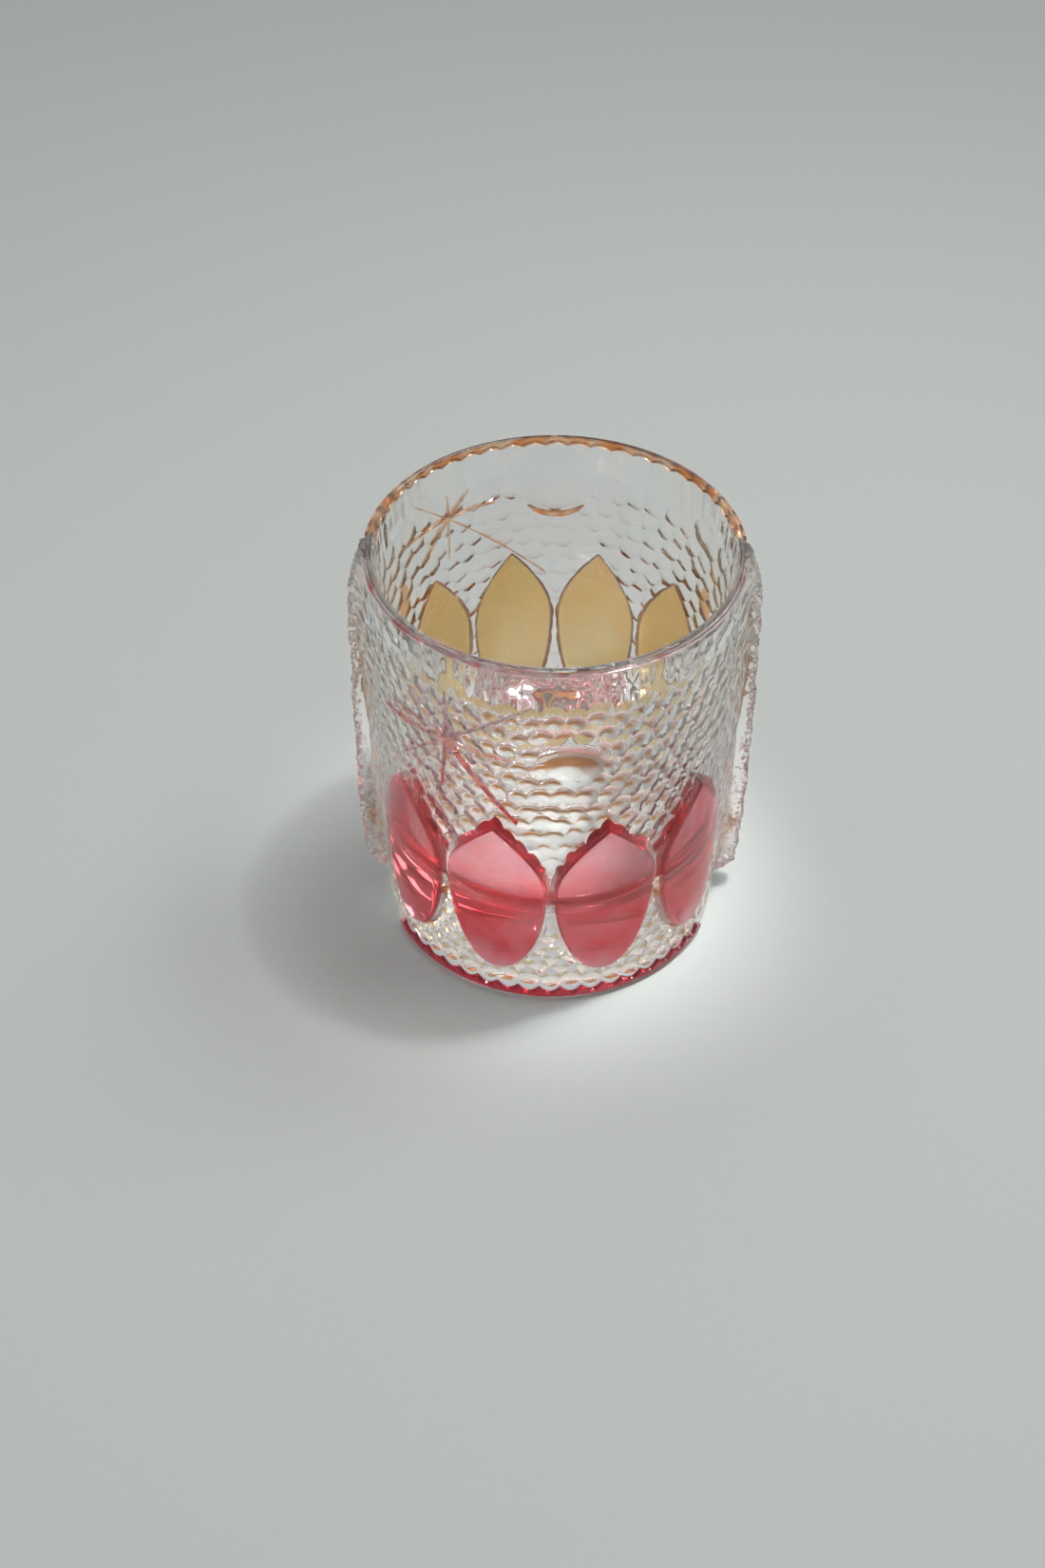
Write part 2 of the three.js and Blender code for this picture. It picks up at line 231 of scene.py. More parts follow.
def cut_mesh(name, mesh, tools, operation):
    """The mesh joined with, or cut by, tool meshes."""
    body = bpy.data.objects.new(name, mesh)
    bpy.context.collection.objects.link(body)
    helpers = []
    for tool in tools:
        helper = bpy.data.objects.new(tool.name, tool)
        bpy.context.collection.objects.link(helper)
        helpers.append(helper)
        step = body.modifiers.new(tool.name, "BOOLEAN")
        step.operation = operation
        step.solver = "MANIFOLD"
        step.object = helper
    graph = bpy.context.evaluated_depsgraph_get()
    result = bpy.data.meshes.new_from_object(body.evaluated_get(graph))
    result.name = name
    for helper in [body, *helpers]:
        bpy.data.objects.remove(helper)
    return result


# Scale cuts

def bisect(function, low, high):
    """Where a rising function of an array passes zero, point by point."""
    for _ in range(BISECTIONS):
        middle = (low + high) / 2
        above = function(middle) > 0
        high = np.where(above, middle, high)
        low = np.where(above, low, middle)
    return (low + high) / 2


class ScaleField:
    """Staggered rows of hollow cuts, crisp in front and shallow behind, a little uneven as if by hand."""

    # Radii of a hollow in front and behind: from side to side, and from its middle upwards and downwards
    ACROSS = (4.7 * MM, 9.0 * MM)
    UPPER = (8.6 * MM, 7.2 * MM)
    LOWER = (6.0 * MM, 9.0 * MM)
    BACK_DEPTH = 0.6  # share of the front scales' depth
    CHANGE = (0.3, 0.85)  # where the back cuts pass into the front ones, along the view from behind to front
    UNEVEN_DEPTH = 0.1
    UNEVEN_LEAN = 0.1
    UNEVEN_HEIGHT = 0.5 * MM
    BAND_PROUD = 0.15 * MM  # how far the rim band's lower edge stands over the ridges

    def __init__(self, form):
        sizes = form.sizes
        self.count = sizes.scales_around
        self.columns = self.count * COLUMNS_PER_SCALE
        self.width = 2 * math.pi * form.core(sizes.height / 2) / self.count
        self.heights = self.row_heights(sizes)
        draw = np.random.default_rng(SEED)
        shape = (len(self.heights), self.count)
        turn = np.arange(self.count) / self.count * 2 * math.pi
        self.front = np.clip((np.cos(turn) - self.CHANGE[0]) / (self.CHANGE[1] - self.CHANGE[0]), 0, 1)
        even = sizes.scale_depth * (self.BACK_DEPTH + (1 - self.BACK_DEPTH) * self.front)
        self.depth = even * (1 + self.UNEVEN_DEPTH * draw.uniform(-1, 1, shape))
        self.lean_across = self.UNEVEN_LEAN * draw.uniform(-1, 1, shape)
        self.lean_up = self.UNEVEN_LEAN * draw.uniform(-1, 1, shape)
        self.shift = self.UNEVEN_HEIGHT * draw.uniform(-1, 1, shape)
        self.edges = self.row_edges(sizes)

    def radius(self, radii, k):
        """A hollow's radius, between the front one and the back one."""
        return radii[1] + (radii[0] - radii[1]) * self.front[k]

    def row_heights(self, sizes):
        """Heights of the rows' middles, from the foot up."""
        top = sizes.height - sizes.rim_band - math.sqrt(2 * self.UPPER[0] * sizes.scale_depth)
        lowest = sizes.foot_band + math.sqrt(2 * self.LOWER[0] * sizes.scale_depth)
        heights = [top]
        while heights[-1] > lowest:
            share = (heights[-1] - lowest) / (top - lowest)
            heights.append(heights[-1] - sizes.foot_row - (sizes.top_row - sizes.foot_row) * share)
        return np.array(heights[:-1][::-1])

    def depth_at(self, row, z):
        """Depth of one row's cuts under each column of the mesh at the heights z."""
        place = np.arange(self.columns) / COLUMNS_PER_SCALE - 0.5 * (row % 2)
        nearest = np.rint(place).astype(int)
        deepest = np.full(self.columns, -np.inf)
        for k in (nearest - 1, nearest, nearest + 1):
            x = (place - k) * self.width
            k = k % self.count
            y = z - self.heights[row] - self.shift[row, k]
            steep = np.where(y > 0, self.radius(self.UPPER, k), self.radius(self.LOWER, k))
            hollow = x**2 / (2 * self.radius(self.ACROSS, k)) + y**2 / (2 * steep)
            lean = self.lean_across[row, k] * x + self.lean_up[row, k] * y
            deepest = np.maximum(deepest, self.depth[row, k] - hollow + lean)
        return deepest

    def row_edges(self, sizes):
        """The ridge lines under, between and over the rows, as heights for each column."""
        flat = np.ones(self.columns)
        last = len(self.heights) - 1
        reach = 2 * sizes.top_row
        foot, top = self.heights[0], self.heights[last]
        edges = [bisect(lambda z: self.depth_at(0, z), (foot - reach) * flat, foot * flat)]
        for row in range(last):
            def rises(z, row=row):
                return self.depth_at(row + 1, z) - self.depth_at(row, z)
            edges.append(bisect(rises, self.heights[row] * flat, self.heights[row + 1] * flat))

        def stands_out(z):
            return -self.depth_at(last, z) - self.BAND_PROUD
        edges.append(bisect(stands_out, top * flat, (top + reach) * flat))
        return edges


def field_rings(form, field):
    """Rings of radii and heights up the cut field, with the ridges on rings of their own."""
    rings = []
    last = len(field.heights) - 1
    for row in range(last + 1):
        low, high = field.edges[row], field.edges[row + 1]
        proudest = field.BAND_PROUD if row == last else 0
        for step in range(STEPS_PER_ROW):
            z = low + (high - low) * step / STEPS_PER_ROW
            rings.append((form.core(z) - np.maximum(field.depth_at(row, z), -proudest), z))
    z = field.edges[-1]
    rings.append((form.core(z) + field.BAND_PROUD, z))
    return rings


# Drift of the cutter's hand along the surface and in height. A wave has its size, its turns round the glass,
# the height in which it runs on by one radian, and its phase.
DRIFT_ACROSS = ((0.22 * MM, 7, 6 * MM, 0.0), (0.16 * MM, 13, -9 * MM, 1.0))
DRIFT_UP = ((0.26 * MM, 5, 8 * MM, 2.0), (0.18 * MM, 11, math.inf, 0.7))
DRIFT_RISE = 8  # how fast the drift sets in from the ends of the cut field
WELL_SIDE = 0.25  # share of the lip's wall that belongs to the well, where nothing drifts


def hand_drift(waves, azimuth, z):
    """The sum of the waves at each place."""
    return sum(size * np.sin(turns * azimuth + z / lean + phase) for size, turns, lean, phase in waves)


FOOT_CHAMFER = 0.8 * MM
LIP_ROUND = 0.6 * MM
LIP_FLARE = 0.6 * MM  # how far the well opens out inside the rim band
FLUTE_DEPTH = 0.06 * MM


def rim_flutes(form, field):
    """The plain rim band, very slightly fluted by the polishing wheel."""
    draw = np.random.default_rng(SEED + 1)
    waves = draw.normal(0, FLUTE_DEPTH, field.columns)
    waves = (waves + np.roll(waves, 1)) / 2
    low = field.edges[-1]
    high = form.sizes.height - LIP_ROUND
    rings = []
    for step in range(1, FLUTE_RINGS):
        share = step / FLUTE_RINGS
        z = low + (high - low) * share
        rings.append((form.core(z) + field.BAND_PROUD * (1 - share) + waves * math.sin(math.pi * share), z))
    return rings


def crystal_rings(form, field):
    """All rings of the crystal, from the base up the outside, over the lip and down the well."""
    s = form.sizes
    quarter = np.linspace(0, math.pi / 2, LIP_STEPS)
    foot = [
        (form.core(0) - FOOT_CHAMFER * (1 - math.sin(t)), FOOT_CHAMFER * (1 - math.cos(t)))
        for t in quarter
    ]
    outer_lip = [
        (form.core(s.height) - LIP_ROUND * (1 - math.cos(t)), s.height - LIP_ROUND * (1 - math.sin(t)))
        for t in quarter
    ]
    mouth = form.well(s.height) + LIP_FLARE
    inner_lip = [
        (mouth + LIP_ROUND * (1 - math.sin(t)), s.height - LIP_ROUND * (1 - math.cos(t)))
        for t in quarter
    ]
    below_band = s.height - s.rim_band
    flare = [
        (form.well(z) + LIP_FLARE * (z - below_band) / (s.rim_band - LIP_ROUND), z)
        for z in np.linspace(s.height - LIP_ROUND, below_band, FLARE_RINGS + 1)[1:]
    ]
    fillet_top = s.floor_thickness + s.well_fillet
    wall = [(form.well(z), z) for z in np.linspace(below_band, fillet_top, WALL_RINGS + 2)[1:-1]]
    fillet_foot = form.well(fillet_top) - s.well_fillet
    fillet = [
        (fillet_foot + s.well_fillet * math.cos(t), fillet_top - s.well_fillet * math.sin(t))
        for t in np.linspace(0, math.pi / 2, FILLET_STEPS)
    ]
    floor = [(fillet_foot * share, s.floor_thickness) for share in FLOOR_SHARES]
    return [
        *foot, *field_rings(form, field), *rim_flutes(form, field),
        *outer_lip, *inner_lip, *flare, *wall, *fillet, *floor,
    ]


def crystal_mesh(form):
    """The cut crystal before the petals' seats are added and the lenses are cut."""
    field = ScaleField(form)
    azimuth = np.arange(field.columns) / field.columns * 2 * math.pi
    low, high = field.edges[0].min(), field.edges[-1].max()
    points = []
    for radius, z in crystal_rings(form, field):
        z = z * np.ones(field.columns)
        radius = radius * np.ones(field.columns)
        rise = np.clip((z - low) / (high - low), 0, 1)
        outside = radius > form.well(z) + form.sizes.lip_wall * WELL_SIDE
        on_field = outside * np.minimum(1, DRIFT_RISE * rise * (1 - rise))
        across = on_field * hand_drift(DRIFT_ACROSS, azimuth, z)
        up = on_field * hand_drift(DRIFT_UP, azimuth, z)
        points.append(on_circle(azimuth + across / radius, radius, z + up))
    return new_mesh("crystal_blank", points, tube_faces(len(points), field.columns))


# Petal panels

RUBY_PETALS = [f"ruby_petal_{k}" for k in range(1, 5)]
AMBER_PETALS = [f"amber_petal_{k}" for k in range(1, 5)]
PETAL_WAIST = 0.6  # height of the widest place, as a share of the petal
PETAL_TAPER = 1.8  # how late the petal draws in towards its tip
TIP_MITRE = 1.5  # how much further a tip grows than the sides
SEAT_DEPTH = 0.5 * MM  # top of the clear seat under the outside
SEAT_ROOT = 1.4 * MM  # how deep the seat is rooted in the crystal
RUBY_FLARE = 1.9 * MM  # how far the bevel of a ruby petal's seat runs out
AMBER_FLARE = 0.9 * MM
# Levels of a panel from its inner face to its outer one: its growth, and its depth below the outside
RUBY_LEVELS = ((-0.02 * MM, 0.62 * MM), (-0.3 * MM, 0.3 * MM), (-0.6 * MM, 0.08 * MM), (-1.0 * MM, 0.0))
AMBER_LEVELS = ((-0.06 * MM, 0.62 * MM), (-0.06 * MM, 0.3 * MM), (-0.2 * MM, 0.08 * MM), (-0.5 * MM, 0.0))


def petal_middle(node):
    """Azimuth of a petal's middle."""
    x, y, _ = node_points(node).mean(axis=0)
    return math.atan2(x, -y)


def petal_half_width(node):
    """Half of a petal's width along the surface."""
    x, y, _ = node_points(node).T
    turn = half_turn(np.arctan2(x, -y) - petal_middle(node))
    return np.abs(turn).max() * np.hypot(x, y).mean()


def petal_outline(node, grow):
    """Heights and half widths of a petal, made larger or smaller all round."""
    low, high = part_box(node)
    bottom = low.z - grow
    tip = high.z + grow * TIP_MITRE
    share = (1 - np.cos(np.linspace(0, math.pi, PETAL_STATIONS + 1))) / 2
    down = np.clip(1 - share / PETAL_WAIST, 0, 1)
    up = np.clip((share - PETAL_WAIST) / (1 - PETAL_WAIST), 0, 1)
    full = np.where(share < PETAL_WAIST, np.sqrt(1 - down**2), 1 - up**PETAL_TAPER)
    return bottom + share * (tip - bottom), full * (petal_half_width(node) + grow)


def petal_shell(name, form, node, levels):
    """A closed petal with a face on its first and last level, and sides between all levels."""
    middle = petal_middle(node)
    across = np.linspace(-1, 1, PETAL_COLUMNS + 1)
    points = []
    for grow, depth in levels:
        z, half = (column[:, None] for column in petal_outline(node, grow))
        radius = form.outer(z) - depth
        points.append(on_circle(middle + across * half / radius, radius, z))
    shape = (len(levels), PETAL_STATIONS + 1, PETAL_COLUMNS + 1)
    grids = np.arange(np.prod(shape)).reshape(shape)
    faces = []
    for grid in (grids[0], grids[-1]):
        quads = np.stack([grid[:-1, :-1], grid[:-1, 1:], grid[1:, 1:], grid[1:, :-1]], axis=-1)
        faces.extend(quads.reshape(-1, 4).tolist())
    loops = [np.concatenate([grid[:, -1], grid[::-1, 0]]) for grid in grids]
    for lower, upper in zip(loops[:-1], loops[1:]):
        sides = np.stack([lower, np.roll(lower, -1), np.roll(upper, -1), upper], axis=-1)
        faces.extend(sides.tolist())
    return new_mesh(name, points, faces, tips=True)


def petal_seats(form):
    """Clear seats of crystal that carry the petals, with a bevel that runs into the scales."""
    seats = []
    for nodes, flare in ((RUBY_PETALS, RUBY_FLARE), (AMBER_PETALS, AMBER_FLARE)):
        levels = ((flare, SEAT_ROOT + form.sizes.casing), (0.0, SEAT_DEPTH))
        seats.extend(petal_shell("petal_seat", form, node, levels) for node in nodes)
    return seats


# Lens cuts

FRONT_LENS = (math.radians(7), 25.4 * MM)  # azimuth, and drop below the rim
BACK_LENS = (math.pi, 12.5 * MM)
LENS_MARGIN = 1.25  # the cutter's size, as a share of the lens
LENS_CLEARANCE = 3  # how far the cutter stands out, in depths of the lens


def lens_tool(form, azimuth, drop):
    """A cutter that leaves a round dish in the outside of the crystal."""
    s = form.sizes
    middle = s.height - drop
    surface = form.core(middle)
    reach = LENS_MARGIN * s.lens_radius
    turn = np.linspace(0, 2 * math.pi, LENS_SPOKES, endpoint=False)
    points = []
    for share in np.linspace(1, 0, LENS_RINGS + 1)[:-1]:
        across, up = share * reach * np.cos(turn), share * reach * np.sin(turn)
        dish = s.lens_depth * (1 - (across**2 + up**2) / s.lens_radius**2)
        points.append(np.stack([across, -(surface - dish - across**2 / (2 * surface)), middle + up], axis=-1))
    cap = points[0].copy()
    cap[:, 1] = -(surface + LENS_CLEARANCE * s.lens_depth)
    points.insert(0, cap)
    mesh = new_mesh("lens_tool", points, tube_faces(len(points), LENS_SPOKES))
    mesh.transform(Matrix.Rotation(azimuth, 4, "Z"))
    return mesh


# Bands, crescent and stars of casing

RIM_SCALLOP = 0.7 * MM
FOOT_SCALLOP = 1.7 * MM
BAND_ROOT = 0.12 * MM
BAND_BEVEL = 0.35 * MM
BAND_CROWN = ((0, 2), (0.3, 1), (1, 0.2))  # points of the rounded top: inset and drop, in bevels
CRESCENT_MIDDLE = 1.0 * MM  # height of the sliver in its middle
CRESCENT_THIN = 0.05 * MM  # least height of the sliver
CRESCENT_PROUD = 0.2 * MM
CRESCENT_ROOT = 1.3 * MM
CRESCENT_BEVEL = 0.3 * MM


def band_shell(name, azimuth, sections):
    """A closed band swept round the glass. Sections are loops of radius and height, one for each azimuth."""
    sections = np.asarray(sections)
    columns, corners, _ = sections.shape
    points = on_circle(np.asarray(azimuth)[:, None], sections[..., 0], sections[..., 1])
    return new_mesh(name, points, tube_faces(columns, corners))


def band_columns(form, node):
    """Azimuths along a band, and how far each lies along it, counted in scallops."""
    x, y, _ = node_points(node).T
    middle = 0.0 if y.mean() < 0 else math.pi
    half = np.abs(half_turn(np.arctan2(x, -y) - middle)).max()
    count = max(1, round(half / math.pi * form.sizes.scales_around))
    along = np.linspace(0, 1, count * SCALLOP_STEPS + 1)
    return middle + (2 * along - 1) * half, along * count


def rim_band(form, node, scallop):
    """A band of casing under the rim with a rounded top and a lower edge scalloped by the topmost cuts."""
    low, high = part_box(node)
    azimuth, scallops = band_columns(form, node)
    top = high.z
    sections = []
    for rise in np.abs(np.sin(math.pi * scallops)) * scallop:
        bottom = low.z + rise
        sections.append([
            (form.core(bottom) - BAND_ROOT, bottom),
            (form.core(bottom) + BAND_ROOT, bottom),
            (form.outer(bottom), bottom + BAND_BEVEL),
            *[(form.outer(top) - inset * BAND_BEVEL, top - drop * BAND_BEVEL) for inset, drop in BAND_CROWN],
            (form.core(top) + BAND_ROOT, top),
            (form.core(top) - BAND_ROOT, top - BAND_BEVEL),
        ])
    return band_shell(node, azimuth, sections)


def foot_ring(form, node, scallop):
    """A band of casing at the foot, its upper edge scalloped in step with the lowest cuts."""
    low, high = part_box(node)
    azimuth, _ = band_columns(form, node)
    bottom = low.z
    sections = []
    for drop in np.abs(np.cos(azimuth * form.sizes.scales_around / 2)) * scallop:
        top = high.z - drop
        sections.append([
            (form.core(bottom) - BAND_ROOT, bottom),
            (form.outer(bottom) - BAND_BEVEL, bottom),
            (form.outer(bottom), bottom + BAND_BEVEL),
            (form.outer(top), top - BAND_BEVEL),
            (form.core(top) + BAND_ROOT, top),
            (form.core(top) - BAND_ROOT, top),
        ])
    return band_shell(node, azimuth, sections)


def crescent_shell(form, node):
    """The sliver of amber in the lower edge of the back lens."""
    s = form.sizes
    middle, drop = BACK_LENS
    low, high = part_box(node)
    half = np.abs(node_points(node)[:, 0]).max()
    u = np.linspace(-1, 1, CRESCENT_STEPS + 1)[1:-1]
    edge = s.height - drop - np.sqrt(s.lens_radius**2 - (u * half) ** 2)
    top = high.z - (high.z - low.z - CRESCENT_MIDDLE) * (1 - u**2)
    top = np.maximum(top, edge + CRESCENT_THIN)
    sections = []
    for bottom, upper in zip(edge, top):
        inner = form.core(bottom) - CRESCENT_ROOT
        outer = form.core(bottom) + CRESCENT_PROUD
        sections.append([
            (inner, bottom),
            (outer, bottom),
            (outer, (bottom + upper) / 2),
            (outer - CRESCENT_BEVEL, upper),
            (inner, upper),
        ])
    return band_shell(node, middle + u * half / s.rim_radius, sections)


# A star: the azimuth of its middle, its drop below the rim, the reach of its longest ray, the width of its
# ribs at the middle, and its rays as directions in degrees and shares of the reach
RUBY_STAR = (
    math.radians(-34.5), 24.9 * MM, 25.0 * MM, 0.7 * MM,
    ((37, 0.96), (89, 0.52), (142, 0.52), (192, 0.84), (224, 0.96), (264, 0.6), (310, 1.0), (356, 0.6)),
)
AMBER_STAR = (
    math.radians(-141), 16.1 * MM, 32.0 * MM, 0.45 * MM,
    ((0, 0.44), (39, 0.4), (88, 0.19), (135, 0.25), (178, 0.38), (221, 1.0), (272, 0.34), (315, 0.38)),
)
RIB_TIP_WIDTH = 0.2 * MM
RIB_ROOT = 0.95 * MM  # how deep the ribs are rooted in the crystal
RIB_CROWN = 0.25  # width of a rib's top, as a share of its root's
RIB_HEIGHT = 0.55  # height over the crystal, as a share of the casing
RIB_SINK = 0.7  # share of its height that a rib loses towards its tip
RIB_OVERLAP = 0.02  # how far a rib runs past the middle, as a share of its length


def star_shell(name, form, star):
    """Thin ribs of casing that taper away from one middle, joined into one star."""
    azimuth, drop, reach, root_width, rays = star
    middle = form.sizes.height - drop
    crown = form.sizes.casing * RIB_HEIGHT
    section = ((-1.0, -RIB_ROOT), (-RIB_CROWN, crown), (RIB_CROWN, crown), (1.0, -RIB_ROOT))
    ribs = []
    for turn, share in rays:
        along = np.linspace(-RIB_OVERLAP, 1, RAY_STEPS + 1) * reach * share
        width = np.linspace(root_width, RIB_TIP_WIDTH, RAY_STEPS + 1) / 2
        turn = math.radians(turn)
        rows = []
        for d, w in zip(along, width):
            row = []
            for side, rise in section:
                s = d * math.cos(turn) - side * w * math.sin(turn)
                z = middle + d * math.sin(turn) + side * w * math.cos(turn)
                fade = 1 if rise < 0 else 1 - RIB_SINK * max(d, 0) / (reach * share)
                radius = form.core(z) + rise * fade
                row.append(on_circle(azimuth + s / form.core(middle), radius, z))
            rows.append(row)
        ribs.append(new_mesh(f"{name}_rib", rows, tube_faces(len(rows), len(section))))
    return cut_mesh(name, ribs[0], ribs[1:], "UNION")


# Side fins

FIN_ROOT = 0.6 * MM
FIN_TAPER = 0.5  # width at the edge, as a share of the root's
FIN_PROUD = 0.25 * MM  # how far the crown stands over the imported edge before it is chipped
FLANK_CROWDING = 1.6  # how much closer the flank's points lie towards the edge
EDGE_SMOOTHING = 5  # packed rings over which the edge line is evened out
CHIP_REACH = 1.7 * MM  # width of the chipped strip along the edge
CHIP_FADE = 0.7 * MM
CHIP_SPREAD = 1.15  # how far the chips lie apart across the edge, as a share of its width
CHIPS = 170
CHIP_SIZES = (0.7 * MM, 2.0 * MM)
CHIP_DEPTHS = (0.15 * MM, 0.6 * MM)
SHARD_JITTER = 0.17 * MM


def fin_edge(node, side, heights):
    """The distance of a fin's outer edge from the axis at each height, evened out, and its half width."""
    points = node_points(node) * (side, side, 1)
    ring_z = np.unique(np.round(points[:, 2], 6))
    reach = np.array([points[np.isclose(points[:, 2], z, atol=1e-6), 0].max() for z in ring_z])
    ends = EDGE_SMOOTHING // 2
    even = np.ones(EDGE_SMOOTHING) / EDGE_SMOOTHING
    smooth = np.convolve(np.pad(reach, ends, mode="edge"), even, mode="valid")
    smooth[:ends], smooth[-ends:] = reach[:ends], reach[-ends:]
    return np.interp(heights, ring_z, smooth), points[:, 1].max()


def fin_section(root, edge, half_root):
    """One section of a fin: up a flank, over the edge and down the other flank."""
    half_edge = half_root * FIN_TAPER
    v = 1 - (1 - np.linspace(0, 1, FLANK_POINTS)) ** FLANK_CROWDING
    flank_r = root + (edge - root) * v
    flank_y = half_root + (half_edge - half_root) * v
    y = np.linspace(half_edge, -half_edge, EDGE_POINTS + 2)[1:-1]
    crown = edge + FIN_PROUD * (1 - (y / half_edge) ** 2)
    return np.concatenate([flank_r, crown, flank_r[::-1]]), np.concatenate([flank_y, y, -flank_y[::-1]])


def fin_shell(name, form, node, side):
    """A tapered fin with polished flanks. Its outer edge is chipped into shards all over."""
    low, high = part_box(node)
    heights = np.linspace(low.z, high.z, round((high.z - low.z) / FIN_STEP) + 1)
    edge, half_root = fin_edge(node, side, heights)
    rows = []
    for z, r in zip(heights, edge):
        section_r, section_y = fin_section(form.core(z) - FIN_ROOT, r, half_root)
        rows.append(np.stack([section_r, section_y, np.full_like(section_r, z)], axis=-1))
    corners = len(rows[0])
    flat = np.concatenate(rows)
    draw = np.random.default_rng(SEED + 2 + (side > 0))
    spine = np.interp(flat[:, 2], heights, edge)
    ragged = draw.uniform(-0.5, 0.5, len(flat)) * CHIP_FADE
    share = np.clip((flat[:, 0] + ragged - spine + CHIP_REACH) / CHIP_FADE, 0, 1)[:, None]
    chip_z = draw.uniform(low.z, high.z, CHIPS)
    chip_y = draw.uniform(-CHIP_SPREAD, CHIP_SPREAD, CHIPS) * half_root * FIN_TAPER
    chip_r = np.interp(chip_z, heights, edge) + FIN_PROUD
    chip_size = draw.uniform(*CHIP_SIZES, CHIPS)
    chip_depth = draw.uniform(*CHIP_DEPTHS, CHIPS)
    gap = ((flat[:, None] - np.stack([chip_r, chip_y, chip_z], axis=-1)) ** 2).sum(axis=-1)
    depth = np.max(chip_depth * (1 - gap / chip_size**2), axis=1).clip(0)
    inward = flat - np.stack([spine - 2 * CHIP_REACH, np.zeros(len(flat)), flat[:, 2]], axis=-1)
    inward /= np.linalg.norm(inward, axis=1, keepdims=True)
    flat -= share * inward * depth[:, None]
    flat += share * draw.uniform(-SHARD_JITTER, SHARD_JITTER, flat.shape)
    return new_mesh(name, flat * (side, side, 1), tube_faces(len(rows), corners))


# Materials

class Wire:
    """A shader socket in a Python expression. Each operator adds the Math node that it stands for."""

    def __init__(self, tree, socket=None):
        self.tree = tree
        self.socket = socket

    def node(self, kind, settings=None, out=0, **sockets):
        """Any other node: its type, its settings, then the values or links of its sockets."""
        made = self.tree.nodes.new(kind)
        for name, value in (settings or {}).items():
            setattr(made, name, value)
        for name, value in sockets.items():
            key = int(name[1:]) if name[0] == "_" else name.replace("_", " ")
            if isinstance(value, Wire):
                self.tree.links.new(value.socket, made.inputs[key])
            else:
                made.inputs[key].default_value = value
        return Wire(self.tree, made.outputs[out] if made.outputs else None)

    def math(self, operation, first, second):
        """A Math node with two inputs."""
        return self.node("ShaderNodeMath", {"operation": operation}, _0=first, _1=second)

    def __add__(self, other):
        return self.math("ADD", self, other)

    __radd__ = __add__

    def __sub__(self, other):
        return self.math("SUBTRACT", self, other)

    def __rsub__(self, other):
        return self.math("SUBTRACT", other, self)

    def __mul__(self, other):
        return self.math("MULTIPLY", self, other)

    __rmul__ = __mul__

    def __truediv__(self, other):
        return self.math("DIVIDE", self, other)

    def __abs__(self):
        return self.node("ShaderNodeMath", {"operation": "ABSOLUTE"}, _0=self)

    def root(self):
        """The square root."""
        return self.math("POWER", self, 0.5)

    def step(self, low, high):
        """0 below low, 1 above high and a smooth rise between."""
        return self.node(
            "ShaderNodeMapRange", {"interpolation_type": "SMOOTHSTEP"},
            Value=self, From_Min=low, From_Max=high,
        )

    def mix(self, first, second):
        """A colour between two, with this wire as the share of the second."""
        return self.node("ShaderNodeMix", {"data_type": "RGBA"}, out=2, _0=self, _6=first, _7=second)

    def axis(self, name):
        """One coordinate of this wire."""
        return self.node("ShaderNodeSeparateXYZ", out=name, Vector=self)

    def noise(self, scale, detail=3.0, roughness=0.5):
        """Noise over this wire's coordinates."""
        return self.node(
            "ShaderNodeTexNoise", Vector=self, Scale=scale, Detail=detail, Roughness=roughness
        )


def rgba(colour, factor=1.0):
    """A colour for a socket, made a little darker or lighter."""
    return (*[min(1.0, c * factor) for c in colour], 1.0)


def new_material(name):
    """An empty material, and the object's coordinates as its first wire."""
    material = bpy.data.materials.new(name)
    material.use_nodes = True
    material.node_tree.nodes.clear()
    return material, Wire(material.node_tree).node("ShaderNodeTexCoord", out="Object")


def close_surface(place, **sockets):
    """Ends a material in a Principled shader with these values and links."""
    shader = place.node("ShaderNodeBsdfPrincipled", **sockets)
    place.node("ShaderNodeOutputMaterial", Surface=shader)


GLASS_IOR = 1.53
STREAK_SCALE = 6  # how much finer the streaks are than the clouds
CLOUD_SHARE = 0.75
FADE_SHARE = 0.7  # how much of the deep colour follows the height where a finish fades
POLISH = 0.004  # roughness of clean glass
HAZE = 0.02  # roughness that the streaks add
HAZE_PATCHES = (0.5, 0.8)

# Painted amber light under the base at the back, standing for light that passes the amber casing and falls
# under the glass: from and to these distances from the axis, up to this height and behind this line
AMBER_LIGHT_FROM = (11.0 * MM, 16.0 * MM)
AMBER_LIGHT_TO = (27.0 * MM, 32.0 * MM)
AMBER_LIGHT_TOP = (0.4 * MM, 1.5 * MM)
AMBER_LIGHT_BEHIND = (-2.0 * MM, 16.0 * MM)
PEACH_TOP = (12.0 * MM, 20.0 * MM)  # where the paler tint round it ends
PEACH_SHARE = 0.5
FLECK_PLACE = (35.0 * MM, 17.1 * MM, 70.5 * MM)  # the flecks left in the cuts behind the fins
FLECK_SIZE = (2.8 * MM, 5.0 * MM)  # half of a fleck's width and of its height
FLECK_EDGE = (0.6, 1.0)


